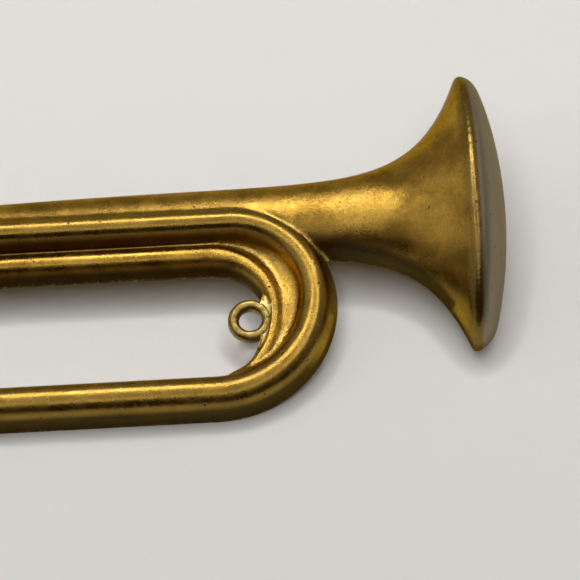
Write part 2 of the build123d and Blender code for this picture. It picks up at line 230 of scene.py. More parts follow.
def inner_path(reach):
    """A line inside the loop from its right-hand tail, over the top, to its left-hand tail."""
    upper_x = reach - INNER_TOP_R
    tail_x = reach - INNER_TAIL_R
    top = INNER_BEND_Y + INNER_TOP_R
    quarter = math.pi / 2
    right, left = LOOP_MID[0] + upper_x, LOOP_MID[0] - upper_x
    rows = arc_points((LOOP_MID[0] + tail_x, INNER_BEND_Y), INNER_TAIL_R, -INNER_TAIL_SWEEP, 0, TAIL_ROWS)
    rows += arc_points((right, INNER_BEND_Y), INNER_TOP_R, 0, quarter, BEND_ROWS)
    rows += line_points((right, top), (left, top), (0, 1), RUN_ROWS)
    rows += arc_points((left, INNER_BEND_Y), INNER_TOP_R, quarter, 2 * quarter, BEND_ROWS)
    rows += arc_points((LOOP_MID[0] - tail_x, INNER_BEND_Y), INNER_TAIL_R, 2 * quarter,
                       2 * quarter + INNER_TAIL_SWEEP, TAIL_ROWS + 1)
    return np.array(rows)


def swept(name, path, sections, closed):
    """A closed mesh with one section at each place of a path."""
    verts = []
    count = len(sections[0])
    for (x, y, out_x, out_y), section in zip(path, sections):
        verts += [(x + u * out_x, y + u * out_y, z) for u, z in section]
    faces = []
    rings = len(sections)
    for ring in range(rings if closed else rings - 1):
        here, there = ring * count, (ring + 1) % rings * count
        for k in range(count):
            after = (k + 1) % count
            faces.append((here + k, here + after, there + after, there + k))
    if not closed:
        faces.append(tuple(range(count))[::-1])
        faces.append(tuple(range((rings - 1) * count, rings * count)))
    return new_object(name, verts, faces)


def loop_form(inset):
    """The loop ridge, whose section is rounder along the lower run."""
    path = loop_path()
    sections = []
    for row in path:
        low = ramp((PIPE_Y - row[1]) / (2 * LOOP_HALF_WIDTH), 0, 1)
        shape = [upper + (lower - upper) * low for upper, lower in zip(UPPER_RIDGE, LOWER_RIDGE)]
        sections.append(ridge_section(shape, 1.0, inset))
    return swept("loop", path, sections, True)


def inner_form(inset):
    """The inner ridge, whose inner side narrows round the bends and along both tails."""
    path = inner_path(INNER_REACH)
    sections = []
    for index in range(len(path)):
        from_end = min(index, len(path) - 1 - index)
        if from_end < TAIL_ROWS:
            narrow = TAIL_SIDE + (BEND_SIDE - TAIL_SIDE) * from_end / TAIL_ROWS
        else:
            narrow = BEND_SIDE + (1 - BEND_SIDE) * ramp(from_end, TAIL_ROWS, TAIL_ROWS + BEND_ROWS)
        section = ridge_section(INNER_RIDGE, 1.0, inset)
        section[section[:, 0] < 0, 0] *= narrow
        sections.append(section)
    return swept("inner", path, sections, False)


def trough_form(inset):
    """The broad hollowed band that opens between the two ridges in each bend."""
    path = inner_path(TROUGH_REACH)
    sections = []
    for index in range(len(path)):
        from_end = min(index, len(path) - 1 - index)
        opened = ramp(from_end, TAIL_ROWS + BEND_ROWS, TAIL_ROWS)
        top = TROUGH_Z[0] + (TROUGH_Z[1] - TROUGH_Z[0]) * opened - inset
        section = [(TROUGH_HALF, -SINK), (TROUGH_HALF, top + TROUGH_LIFT)]
        for step in range(1, TROUGH_STEPS):
            share = step / TROUGH_STEPS
            dip = TROUGH_DIP * math.sin(math.pi * share)
            section.append((TROUGH_HALF * (1 - 2 * share), top + TROUGH_LIFT * (1 - share) - dip))
        section += [(-TROUGH_HALF, top), (-TROUGH_HALF, -SINK)]
        sections.append(np.array(section))
    return swept("trough", path, sections, False)


def tube_half_width(x):
    """Half the width of the bell's tube, which eases out to its full size."""
    left = max(0.0, 1 - (x - TUBE_START_X) / (TUBE_FULL_X - TUBE_START_X))
    return TUBE_R - (TUBE_R - TUBE_START_R) * left * left


def bell_size(x, inset):
    """Half width and height of the bell's form, or of the hollow inside it."""
    spread = RIM_FLARE * math.exp((x - RIM_X) / RIM_FLARE_LENGTH)
    climb = RIM_RISE * math.exp((x - RIM_X) / RIM_RISE_LENGTH)
    half_width = tube_half_width(x) + spread - inset * math.hypot(1, spread / RIM_FLARE_LENGTH)
    height = TUBE_FLATNESS * tube_half_width(x) + climb - inset * math.hypot(1, climb / RIM_RISE_LENGTH)
    return half_width, height


def loop_edge(x):
    """How far north the loop's centre-line runs at x; the bell tube stops there."""
    bend_r = LOOP_HALF_WIDTH - BEND_UP
    past = abs(x - LOOP_MID[0]) - (LOOP_HALF_LENGTH - bend_r)
    if past <= 0:
        return PIPE_Y
    return LOOP_MID[1] + BEND_UP + math.sqrt(max(0.0, bend_r ** 2 - past ** 2))


def tube_form(inset):
    """The bell tube on the loop's north side, up to where the flare's own form takes over."""
    path, sections = [], []
    for x in np.linspace(TUBE_START_X, HEAD_START_X + TUBE_OVERLAP, TUBE_ROWS):
        half_width, height = bell_size(x, inset)
        edge = loop_edge(x)
        section = [(BELL_Y + half_width, -SINK)]
        for step in range(TUBE_STEPS + 1):
            angle = math.pi * step / TUBE_STEPS
            y = BELL_Y + half_width * math.cos(angle)
            z = height * math.sin(angle)
            if y < edge:
                y = edge
                z = -SINK / 2
            section.append((y, z))
        section.append((max(edge, BELL_Y - half_width), -SINK))
        path.append((x, 0, 0, 1))
        sections.append(np.array(section))
    return swept("tube", path, sections, False)


def mouth_foot(y, inset):
    """How far along X the mouth's trim edge runs at a distance y from the bell's axis."""
    radius = MOUTH_R - inset
    foot = MOUTH_APEX_X - MOUTH_R + math.sqrt(radius ** 2 - y ** 2)
    corner = MOUTH_CORNER_R - inset
    outer = TUBE_R + RIM_FLARE + RIM_SWELL + MOUTH_CORNER_OUT - inset
    into = abs(y) - (outer - corner)
    if into > 0:
        foot -= corner - math.sqrt(max(0.0, corner ** 2 - into ** 2))
    return foot


def head_column(angle, inset):
    """Points up the flare, over its roll and down the dome, at an angle round the bell's axis."""
    roll = ROLL_R if inset == 0 else BACK_ROLL * ROLL_R
    side, up = math.cos(angle), math.sin(angle)
    start = ROLL_START_X + ROLL_BOW * up * up + BACK_ROLL_OUT * (ROLL_R - roll)
    end_half, end_height = bell_size(ROLL_START_X, inset)[0], bell_size(start, inset)[1]
    points = []
    for i in range(FLARE_ROWS + 1):
        x = HEAD_START_X + (start - HEAD_START_X) * (1 - (1 - i / FLARE_ROWS) ** FLARE_BUNCHING)
        half_width, height = bell_size(x, inset)
        points.append((x, BELL_Y + min(half_width, end_half) * side, height * up))
    climb = math.atan(math.hypot(RIM_FLARE / RIM_FLARE_LENGTH * side, RIM_RISE / RIM_RISE_LENGTH * up))
    for i in range(1, ROLL_ROWS + 1):
        slope = climb - (climb + ROLL_DOWN) * i / ROLL_ROWS
        x = start + roll * (math.sin(climb) - math.sin(slope))
        out = roll * (math.cos(slope) - math.cos(climb))
        y = (end_half + out) * side
        points.append((min(x, mouth_foot(y, inset) - HAIR), BELL_Y + y, (end_height + out) * up))
    dome_x, y, z = points[-1]
    foot_x = max(mouth_foot(y - BELL_Y, inset), dome_x + HAIR)
    for i in range(1, DOME_ROWS + 1):
        turn = math.pi / 2 * i / DOME_ROWS
        points.append((dome_x + (foot_x - dome_x) * math.sin(turn) ** DOME_BULGE, y, z * math.cos(turn)))
    return points


def close_below(obj):
    """Draws an open form's edge down to the sunk base, and closes it there."""
    mesh = bmesh.new()
    mesh.from_mesh(obj.data)
    bmesh.ops.remove_doubles(mesh, verts=mesh.verts, dist=1e-4)
    rim = [edge for edge in mesh.edges if edge.is_boundary]
    made = bmesh.ops.extrude_edge_only(mesh, edges=rim)
    for vert in [item for item in made["geom"] if isinstance(item, bmesh.types.BMVert)]:
        vert.co.z = -SINK
    bmesh.ops.holes_fill(mesh, edges=[edge for edge in mesh.edges if edge.is_boundary])
    bmesh.ops.triangulate(mesh, faces=[face for face in mesh.faces if len(face.verts) > 4])
    bmesh.ops.recalc_face_normals(mesh, faces=mesh.faces)
    mesh.to_mesh(obj.data)
    mesh.free()


def head_form(inset):
    """The flare from the throat to its rolled rim, and the dome that closes the mouth."""
    verts = []
    for k in range(HEAD_COLUMNS + 1):
        verts += head_column(math.pi * k / HEAD_COLUMNS, inset)
    row = FLARE_ROWS + ROLL_ROWS + DOME_ROWS + 1
    faces = []
    for k in range(HEAD_COLUMNS):
        for i in range(row - 1):
            a = k * row + i
            faces.append((a, a + 1, a + row + 1, a + row))
    obj = new_object("head", verts, faces)
    close_below(obj)
    return obj


def pipe_form(name, stations, inset):
    """A run of ridge sections along the mouthpipe's line: stations are (x, scale)."""
    path = [(x, PIPE_Y, 0, 1) for x, _ in stations]
    sections = [ridge_section(UPPER_RIDGE, scale, inset) for _, scale in stations]
    return swept(name, path, sections, False)


def mouth_forms(inset):
    """Mouthpipe, collar, shank, flared cup and its rim."""
    forms = [pipe_form("pipe", [(PIPE_END_X + inset, PIPE_SCALE), (PIPE_START_X, PIPE_SCALE)], inset)]
    shank = [(SHANK_END_X - SHANK_BITE, SHANK_SCALE), (PIPE_END_X + 2 * WALL, SHANK_SCALE)]
    forms.append(pipe_form("shank", shank, inset))
    cup = []
    for step in range(CUP_ROWS + 1):
        share = step / CUP_ROWS
        x = CUP_END_X + RIM_BAND + (SHANK_END_X - CUP_END_X - RIM_BAND) * share
        cup.append((x, SHANK_SCALE + (CUP_SCALE - SHANK_SCALE) * (1 - ramp(share, 0, 1))))
    forms.append(pipe_form("cup", cup, inset))
    if inset == 0:
        collar = [(PIPE_END_X - COLLAR_BITE, COLLAR_SCALE), (PIPE_END_X + COLLAR_LENGTH, COLLAR_SCALE)]
        forms.append(pipe_form("collar", collar, 0))
        rim = [(CUP_END_X, CUP_RIM_SCALE), (CUP_END_X + RIM_BAND, CUP_RIM_SCALE)]
        forms.append(pipe_form("rim", rim, 0))
    return forms


def fused(name, inset, voxel):
    """All the struck forms as one skin, with its creases softened."""
    forms = [loop_form(inset), inner_form(inset), trough_form(inset), tube_form(inset), head_form(inset)]
    forms += mouth_forms(inset)
    verts, faces = [], []
    for form in forms:
        base = len(verts)
        verts += [vert.co.copy() for vert in form.data.vertices]
        faces += [[base + index for index in face.vertices] for face in form.data.polygons]
        bpy.data.objects.remove(form)
    obj = new_object(name, verts, faces)
    fix_normals(obj)
    remesh = obj.modifiers.new("skin", "REMESH")
    remesh.mode = "VOXEL"
    remesh.voxel_size = voxel
    smooth = obj.modifiers.new("soften", "SMOOTH")
    smooth.factor = 0.5
    smooth.iterations = SOFTEN
    apply_modifiers(obj)
    return obj


def cut(obj, tool):
    """Takes one closed mesh away from another."""
    boolean = obj.modifiers.new("cut", "BOOLEAN")
    boolean.operation = "DIFFERENCE"
    boolean.solver = "MANIFOLD"
    boolean.object = tool
    apply_modifiers(obj)
    bpy.data.objects.remove(tool)


def slab():
    """Everything under the trim plane."""
    length, width = SLAB_HALF
    outline = [(-length, -width), (length, -width), (length, width), (-length, width)]
    corners = [(x, y, z) for z in (-SLAB_DEPTH, 0.0) for x, y in outline]
    sides = [(0, 1, 5, 4), (1, 2, 6, 5), (2, 3, 7, 6), (3, 0, 4, 7)]
    return new_object("slab", corners, [(3, 2, 1, 0), (4, 5, 6, 7)] + sides)


def to_metres(obj):
    """Lifts a form made on the trim plane to its place in the frame, and scales it."""
    for vert in obj.data.vertices:
        vert.co.z += LIFT
        vert.co *= MM
    obj.data.update()


def give_material(obj, material):
    obj.data.materials.clear()
    obj.data.materials.append(material)


def finish_piece(obj, body, node, material):
    """Scales a piece to metres, gives it its material and says what it stands for."""
    to_metres(obj)
    obj.data.polygons.foreach_set("use_smooth", [True] * len(obj.data.polygons))
    give_material(obj, material)
    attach(obj, body)
    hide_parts(node)


def front_shell():
    """The struck shell: relief in front and hollow behind, cut off at the trim plane."""
    shell = fused("struck_shell", 0.0, SKIN_VOXEL)
    cut(shell, fused("hollow", WALL, BACK_VOXEL))
    cut(shell, slab())
    finish_piece(shell, "brooch", "front_shell", struck_brass())
    mark_surface(shell)


# Cord rings
RING_CENTRE = (19.93, -5.55, 0.62)    # height over the trim edge, as for every front form
RING_HOLE_R = 0.79
RING_OUTER_R = 1.575
RING_HALF_THICKNESS = 0.5
RING_SQUARENESS = 2.5                 # 2 would be round wire
RING_COLUMNS = 120
WIRE_STEPS = 36
WIRE_UNEVEN = 0.05                    # share of the wire's own size
WIRE_LUMP = 1.4
WIRE_LUMP_R = 3.0                     # of the circle that the wire's lumps are drawn along
WIRE_SEED = 5
SEAM_PINCH = 0.12                     # share of the wire's size that is lost where its ends meet
SEAM_HALF_ANGLE = 0.05

# Brazing webs, from a ring's wire to the inner ridge
WEB_ALONG = (-2.15, 2.05)             # from the ring's centre, along Y
WEB_FACE = 0.95                       # half of the length that starts on the wire
WEB_OVAL = (1.04, 1.2)                # half axes of the line it starts on
WEB_SHORT = 0.05                      # how far it stops short of the ridge's centre-line
WEB_ROOT = 0.50                       # width that is left at each end
WEB_ROOT_DROP = 0.25                  # share of the height that is lost at each end
WEB_BOTTOM = 0.12
WEB_TOP = 1.10
WEB_CLIMB = 0.14
WEB_SAG = 0.14
WEB_LUMP = (0.03, 0.45)               # height and size
WEB_SEED = 11
WEB_ROWS = 60
WEB_STEPS = 12


def wobble(point, size, seed):
    """Smooth noise from -1 to 1 at a point, for features about size across."""
    return noise.noise(Vector(point) / size + Vector((seed, 2.7 * seed, 0)))


def squarish(value):
    """Bends a sine or cosine so that a circle's outline comes out squarer."""
    return math.copysign(abs(value) ** (2 / RING_SQUARENESS), value)


def ring_x(sign):
    """X of the ring at the bell end, for 1, or of its mirror image, for -1."""
    return RING_CENTRE[0] if sign > 0 else 2 * LOOP_MID[0] - RING_CENTRE[0]


def cord_ring(name, node, sign):
    """A ring of flattened wire, a little uneven, whose ends meet against the inner ridge."""
    middle = (RING_HOLE_R + RING_OUTER_R) / 2
    half = (RING_OUTER_R - RING_HOLE_R) / 2
    verts, faces = [], []
    for k in range(RING_COLUMNS):
        angle = 2 * math.pi * k / RING_COLUMNS
        gap = min(angle, 2 * math.pi - angle)
        pinch = 1 - SEAM_PINCH * math.exp(-(gap / SEAM_HALF_ANGLE) ** 2)
        for j in range(WIRE_STEPS):
            turn = 2 * math.pi * j / WIRE_STEPS
            lump = (math.cos(angle) * WIRE_LUMP_R, math.sin(angle) * WIRE_LUMP_R, turn)
            rough = 1 + WIRE_UNEVEN * wobble(lump, WIRE_LUMP, WIRE_SEED * sign)
            reach = middle + half * pinch * rough * squarish(math.cos(turn))
            x = ring_x(sign) + sign * reach * math.cos(angle)
            y = RING_CENTRE[1] + reach * math.sin(angle)
            z = RING_CENTRE[2] + RING_HALF_THICKNESS * pinch * rough * squarish(math.sin(turn))
            verts.append((x, y, z))
    for k in range(RING_COLUMNS):
        here, there = k * WIRE_STEPS, (k + 1) % RING_COLUMNS * WIRE_STEPS
        for j in range(WIRE_STEPS):
            after = (j + 1) % WIRE_STEPS
            quad = (here + j, there + j, there + after, here + after)
            faces.append(quad[::sign])
    ring = new_object(name, verts, faces)
    finish_piece(ring, "brooch", node, ring_brass())


def web_row(v):
    """At v along Y from the ring's centre: where a web starts and ends, and its share of height."""
    y = RING_CENTRE[1] + v
    radius = INNER_TAIL_R if y < INNER_BEND_Y else INNER_TOP_R
    middle = LOOP_MID[0] + INNER_REACH - radius
    far = middle + math.sqrt(radius ** 2 - (y - INNER_BEND_Y) ** 2) - WEB_SHORT - RING_CENTRE[0]
    if abs(v) < WEB_FACE:
        return WEB_OVAL[0] * math.sqrt(1 - (v / WEB_OVAL[1]) ** 2), far, 1.0
    end = WEB_ALONG[1] if v > 0 else -WEB_ALONG[0]
    out = (abs(v) - WEB_FACE) / (end - WEB_FACE)
    near = WEB_OVAL[0] * math.sqrt(1 - (WEB_FACE / WEB_OVAL[1]) ** 2) * (1 - out) + (far - WEB_ROOT) * out
    return near, far, 1 - WEB_ROOT_DROP * out * out


def sheet_faces(columns, row):
    """Faces of a closed sheet: its upper points are a grid, and as many lower points follow them."""
    count = (columns + 1) * row
    faces = []
    for k in range(columns):
        for i in range(row - 1):
            a = k * row + i
            faces.append((a, a + 1, a + row + 1, a + row))
            faces.append((a + count, a + row + count, a + row + 1 + count, a + 1 + count))
    outline = [k * row for k in range(columns + 1)] + [columns * row + i for i in range(1, row)]
    outline += [k * row + row - 1 for k in range(columns - 1, -1, -1)] + list(range(row - 2, 0, -1))
    for here, there in zip(outline, outline[1:] + outline[:1]):
        faces.append((here, there, there + count, here + count))
    return faces


def ring_web(name, node, sign):
    """Brazing metal that climbs from a ring's wire onto the inner ridge's side, with a root at each end."""
    low, high = WEB_ALONG
    lump_height, lump_size = WEB_LUMP
    top, bottom = [], []
    for k in range(WEB_ROWS + 1):
        v = low + (high - low) * k / WEB_ROWS
        near, far, root = web_row(v)
        for i in range(WEB_STEPS + 1):
            share = i / WEB_STEPS
            x = near + (far - near) * share
            lump = lump_height * wobble((x, v, 0.0), lump_size, WEB_SEED * sign)
            z = root * (WEB_TOP + WEB_CLIMB * share - WEB_SAG * math.sin(math.pi * share)) + lump
            place = (ring_x(sign) + sign * (x + lump), RING_CENTRE[1] + v + lump)
            top.append((*place, z))
            bottom.append((*place, WEB_BOTTOM))
    web = new_object(name, top + bottom, sheet_faces(WEB_ROWS, WEB_STEPS + 1))
    fix_normals(web)
    finish_piece(web, "brooch", node, brazing())


# Materials. Texture sizes are in millimetres. A colour mix's sockets are known by number, as those of
# its other kinds have the same names.
MIX_SHARE = 0
MIX_FIRST = 6
MIX_SECOND = 7
MIX_RESULT = 2


class Nodes:
    """A material's node tree, with short calls for the nodes used here."""

    def __init__(self, name):
        self.material = bpy.data.materials.new(name)
        self.material.use_nodes = True
        self.tree = self.material.node_tree
        self.shader = self.tree.nodes["Principled BSDF"]
        coordinates = self.tree.nodes.new("ShaderNodeTexCoord")
        scale = self.tree.nodes.new("ShaderNodeVectorMath")
        scale.operation = "SCALE"
        scale.inputs["Scale"].default_value = 1 / MM
        self.tree.links.new(coordinates.outputs["Object"], scale.inputs[0])
        self.place = scale.outputs[0]

    def link(self, output, node, socket):
        self.tree.links.new(output, node.inputs[socket])

    def noise(self, size, detail=3.0, rough=0.5, distortion=0.0):
        node = self.tree.nodes.new("ShaderNodeTexNoise")
        node.inputs["Scale"].default_value = 1 / size
        node.inputs["Detail"].default_value = detail
        node.inputs["Roughness"].default_value = rough
        node.inputs["Distortion"].default_value = distortion
        self.link(self.place, node, "Vector")
        return node.outputs["Fac"]

    def cells(self, size):
        node = self.tree.nodes.new("ShaderNodeTexVoronoi")
        node.inputs["Scale"].default_value = 1 / size
        self.link(self.place, node, "Vector")
        return node.outputs["Distance"]

    def steps(self, value, stops):
        """A ramp from a value to colours or greys: stops are (place, colour)."""
        node = self.tree.nodes.new("ShaderNodeValToRGB")
        elements = node.color_ramp.elements
        while len(elements) < len(stops):
            elements.new(0.5)
        for element, (place, colour) in zip(elements, stops):
            element.position = place
            element.color = (*colour, 1) if isinstance(colour, tuple) else (colour, colour, colour, 1)
        self.link(value, node, "Fac")
        return node.outputs["Color"]

    def mix(self, share, first, second, how="MIX"):
        """Colours or greys mixed: each value is a socket, a colour or a number."""
        node = self.tree.nodes.new("ShaderNodeMix")
        node.data_type = "RGBA"
        node.blend_type = how
        for socket, value in ((MIX_SHARE, share), (MIX_FIRST, first), (MIX_SECOND, second)):
            if isinstance(value, tuple):
                node.inputs[socket].default_value = (*value, 1)
            elif isinstance(value, float):
                node.inputs[socket].default_value = value if socket == MIX_SHARE else (value, value, value, 1)
            else:
                self.tree.links.new(value, node.inputs[socket])
        return node.outputs[MIX_RESULT]

    def cover(self, under, mask, share, over):
        """One colour or grey laid over another, as far as a mask times a share."""
        return self.mix(self.combine(mask, share, "MULTIPLY"), under, over)

    def combine(self, first, second, how):
        """Two values put together by a math node's operation: each is a socket or a number."""
        node = self.tree.nodes.new("ShaderNodeMath")
        node.operation = how
        for socket, value in ((0, first), (1, second)):
            if isinstance(value, (int, float)):
                node.inputs[socket].default_value = value
            else:
                self.tree.links.new(value, node.inputs[socket])
        return node.outputs[0]

    def attribute(self, name):
        node = self.tree.nodes.new("ShaderNodeAttribute")
        node.attribute_name = name
        return node.outputs["Fac"]

    def bump(self, height, distance, strength, after=None):
        """A relief of the given height, over another bump's or by itself."""
        node = self.tree.nodes.new("ShaderNodeBump")
        node.inputs["Strength"].default_value = strength
        node.inputs["Distance"].default_value = distance * MM
        self.link(height, node, "Height")
        if after is not None:
            self.link(after, node, "Normal")
        return node.outputs["Normal"]

    def plain_metal(self, tone, relief, patch, dull, metallic=1.0):
        """A metal of one tone and relief, whose roughness drifts in patches between two values."""
        self.link(tone, self.shader, "Base Color")
        self.shader.inputs["Metallic"].default_value = metallic
        self.link(self.steps(self.noise(patch), [(0.3, dull[0]), (0.7, dull[1])]), self.shader, "Roughness")
        self.link(relief, self.shader, "Normal")
        return self.material


# Colours, in linear light. The lists are ramp stops: where along the ramp, and the colour there.
GOLD = (0.47, 0.315, 0.074)
TAN = (0.41, 0.268, 0.058)
BROWN = (0.27, 0.173, 0.037)
FLECK_DARK = (0.34, 0.22, 0.055)
FLECK_PALE = (0.76, 0.57, 0.19)
# Painted highlight: bright gold for the glints in the lit creases and along the trim edge.
PAINTED_GLINT = (0.80, 0.60, 0.19)
# Painted shade: dark olive for the south-facing skirts, which mirror the shadowed paper beside them.
SKIRT_SHADE = (0.056, 0.040, 0.017)
# Painted shade: dark brown for the south-facing hollow under the upper run.
HOLLOW_SHADE = (0.070, 0.028, 0.006)
DULL = (0.17, 0.12, 0.04)
# Painted reflection: grey for the mouth's dome, which mirrors the pale paper and walls.
MOUTH_REFLECTION = (0.31, 0.275, 0.21)
EDGE_TINT = (0.60, 0.50, 0.36, 1)
STAIN = (0.22, 0.10, 0.03)
PIT = (0.05, 0.028, 0.01)
WIRE_TONES = [(0.36, (0.18, 0.12, 0.035)), (0.66, (0.44, 0.32, 0.10))]
BRAZING_TONES = [(0.35, (0.55, 0.38, 0.10)), (0.6, (0.86, 0.66, 0.26))]
STRIP_TONES = [(0.35, (0.42, 0.29, 0.09)), (0.65, (0.62, 0.45, 0.15))]
SOLDER_TONES = [(0.3, (0.22, 0.21, 0.19)), (0.7, (0.46, 0.45, 0.42))]
STEEL_TONES = [(0.3, (0.42, 0.41, 0.39)), (0.7, (0.62, 0.61, 0.58))]
RUST = (0.20, 0.09, 0.035)
# Paper greys, from the darker south to the paler north: a painted light falloff, with some cloudiness.
PAPER_TONES = [(0.15, (0.79, 0.80, 0.81)), (0.95, (0.895, 0.90, 0.905))]
ROOM_SOUTH = (0.030, 0.018, 0.008, 1)
ROOM_NORTH = (0.30, 0.28, 0.24, 1)


def struck_tone(n, marks):
    """Worn gold, with painted glints in the lit creases and along the trim edge, painted shade on the
    south-facing skirts and hollow, a painted grey reflection on the mouth's dome, a browner raised loop,
    stains and pits.
    """
    fine = n.noise(0.20, 3.0, 0.65)
    tone = n.steps(n.noise(2.6, 5.0, 0.6, 0.4), [(0.34, BROWN), (0.52, TAN), (0.70, GOLD)])
    flecks = n.steps(fine, [(0.36, FLECK_DARK), (0.62, FLECK_PALE)])
    tone = n.mix(0.30, tone, flecks, "OVERLAY")
    # Raised parts outside the bell tube are made browner, which dims the highlights on the loop's crests.
    tone = n.cover(tone, n.attribute("raised_brown"), 0.65, BROWN)
    # Painted highlight: the creases that don't face south are painted with glinting bright gold.
    glint = n.steps(fine, [(0.35, 0.25), (0.60, 1.0)])
    tone = n.cover(tone, n.attribute("lit_crease"), glint, PAINTED_GLINT)
    # Painted shade: the south-facing skirts are painted dark olive.
    tone = n.cover(tone, n.attribute("shaded_skirt"), 0.92, SKIRT_SHADE)
    # Painted glints: bright specks along the rough trim edge.
    edge_glints = n.steps(fine, [(0.54, 0.0), (0.66, 0.6)])
    tone = n.cover(tone, n.attribute("edge"), edge_glints, PAINTED_GLINT)
    # Painted shade: the south-facing hollow between the upper run and the inner ridge is painted dark brown.
    tone = n.cover(tone, n.attribute("hollow"), 0.9, HOLLOW_SHADE)
    tone = n.cover(tone, n.attribute("rim"), 0.75, DULL)
    # Painted reflection: the mouth's dome is painted grey.
    tone = n.cover(tone, n.attribute("mouth"), 0.85, MOUTH_REFLECTION)
    stains = n.steps(n.noise(0.8, 5.0, 0.7, 1.5), [(0.60, 0.0), (0.68, 0.5)])
    tone = n.mix(stains, tone, STAIN)
    return n.mix(marks, tone, PIT)


def struck_relief(n, marks):
    """A gently uneven, grainy skin, rough in the creases and the coarse areas, with pits."""
    broad = n.bump(n.noise(1.6, 2.0, 0.5), 0.030, 0.6)
    grain = n.bump(n.noise(0.09, 3.0, 0.7), 0.012, 0.8, broad)
    coarse = n.combine(n.attribute("coarse"), 0.30, "MULTIPLY")
    rough = n.combine(coarse, n.attribute("lit_crease"), "MAXIMUM")
    speckle = n.bump(n.combine(n.noise(0.14, 4.0, 0.75), rough, "MULTIPLY"), 0.065, 1.0, grain)
    return n.bump(marks, -0.02, 0.8, speckle)


def struck_brass():
    """Old struck brass, duller in its skirts and its mouth."""
    n = Nodes("struck_brass")
    pits = n.steps(n.cells(0.62), [(0.09, 1.0), (0.15, 0.0)])
    some = n.steps(n.noise(0.9, 2.0), [(0.52, 0.0), (0.58, 1.0)])
    marks = n.combine(pits, some, "MULTIPLY")
    dull = n.steps(n.noise(1.3, 4.0, 0.6), [(0.30, 0.18), (0.70, 0.34)])
    dull = n.cover(dull, n.attribute("shaded_skirt"), 0.6, 0.5)
    dull = n.mix(n.attribute("mouth"), dull, 0.46)
    n.link(struck_tone(n, marks), n.shader, "Base Color")
    n.link(dull, n.shader, "Roughness")
    n.link(struck_relief(n, marks), n.shader, "Normal")
    n.shader.inputs["Metallic"].default_value = 1.0
    n.shader.inputs["Specular Tint"].default_value = EDGE_TINT
    return n.material


def ring_brass():
    """Brass wire, browner than the shell."""
    n = Nodes("ring_brass")
    tone = n.steps(n.noise(0.5, 4.0, 0.6), WIRE_TONES)
    relief = n.bump(n.noise(0.16, 3.0, 0.6), 0.012, 0.8)
    return n.plain_metal(tone, relief, patch=0.4, dull=(0.30, 0.46))


def brazing():
    """Bright, lumpy brazing metal."""
    n = Nodes("brazing")
    tone = n.steps(n.noise(0.3, 4.0, 0.6), BRAZING_TONES)
    relief = n.bump(n.noise(0.22, 4.0, 0.7), 0.03, 1.0)
    return n.plain_metal(tone, relief, patch=0.25, dull=(0.2, 0.42))


def strip_brass():
    """Rolled brass strip, finely grained."""
    n = Nodes("strip_brass")
    tone = n.steps(n.noise(0.8, 4.0, 0.6), STRIP_TONES)
    relief = n.bump(n.noise(0.12, 2.0, 0.5), 0.006, 0.7)
    return n.plain_metal(tone, relief, patch=0.5, dull=(0.28, 0.46))


def soft_solder():
    """Dull grey solder with a frozen, grainy skin."""
    n = Nodes("soft_solder")
    tone = n.steps(n.noise(0.4, 4.0, 0.6), SOLDER_TONES)
    relief = n.bump(n.noise(0.2, 4.0, 0.7), 0.03, 0.9)
    return n.plain_metal(tone, relief, patch=0.3, dull=(0.35, 0.6), metallic=0.9)


def pin_steel():
    """Steel wire, finely grained, with a few rust freckles."""
    n = Nodes("pin_steel")
    clean = n.steps(n.noise(0.7, 4.0, 0.6), STEEL_TONES)
    rust = n.steps(n.noise(0.35, 3.0, 0.6), [(0.66, 0.0), (0.74, 1.0)])
    tone = n.mix(rust, clean, RUST)
    relief = n.bump(n.noise(0.1, 2.0, 0.5), 0.004, 0.7)
    return n.plain_metal(tone, relief, patch=0.5, dull=(0.2, 0.38))


def dress(slots):
    """Gives each carried-over CAD node its material."""
    for part in frame["record"]["subparts"]:
        if part["material_slot"] in slots:
            give_material(frame["nodes"][part["node"]], slots[part["material_slot"]])


# Marks on the shell. A pair is where a mark is nothing and where it's full, in millimetres or as a
# part of the normal. Heights are over the trim edge; depths are under the smoothed surroundings.
BLUR_PASSES = 14
BENDS_X = (14.0, 22.0)                # from the loop's middle
FACING_SOUTH = (0.15, 0.5)
CREASE_DEPTH = (0.02, 0.09)
CREASE_LEAST = 0.35                   # strength of the creases along the loop's straight runs
HOLLOW_DEPTH = (-0.05, 0.02)
HOLLOW_Z = (2.3, 1.8)
HOLLOW_Y = (-0.5, 0.1)
INSIDE_NORTH = (-1.3, -1.6)           # from the upper run's line
INSIDE_SOUTH = (1.2, 3.52)            # from the lower run's line
SKIRT_Z = (2.1, 1.3)
INSIDE_SKIRT_Z = (1.0, 0.5)
SKIRT_FACING = (-0.2, 0.35)
SKIRT_DEPTH = (0.06, 0.01)
RIM_WIDTH = 0.9
TUBE_FROM_LOOP = (1.1, 1.7)
BAND_X = (16.0, 20.0)                 # the troughs, from the loop's middle
BAND_TOP = (1.5, 1.3)
BAND_BOTTOM = (0.7, 0.9)
EDGE_Z = (0.24, 0.06)
RAISED_Z = (1.5, 2.0)
THROAT_X = (31.0, 28.0)
MOUTH_FADE = 0.25


def surface_points(mesh):
    """A mesh's points, in millimetres, and its normals, one row each."""
    places = np.empty(len(mesh.vertices) * 3)
    mesh.vertices.foreach_get("co", places)
    normals = np.empty(len(mesh.vertices) * 3)
    mesh.vertices.foreach_get("normal", normals)
    return places.reshape(-1, 3) / MM, normals.reshape(-1, 3)


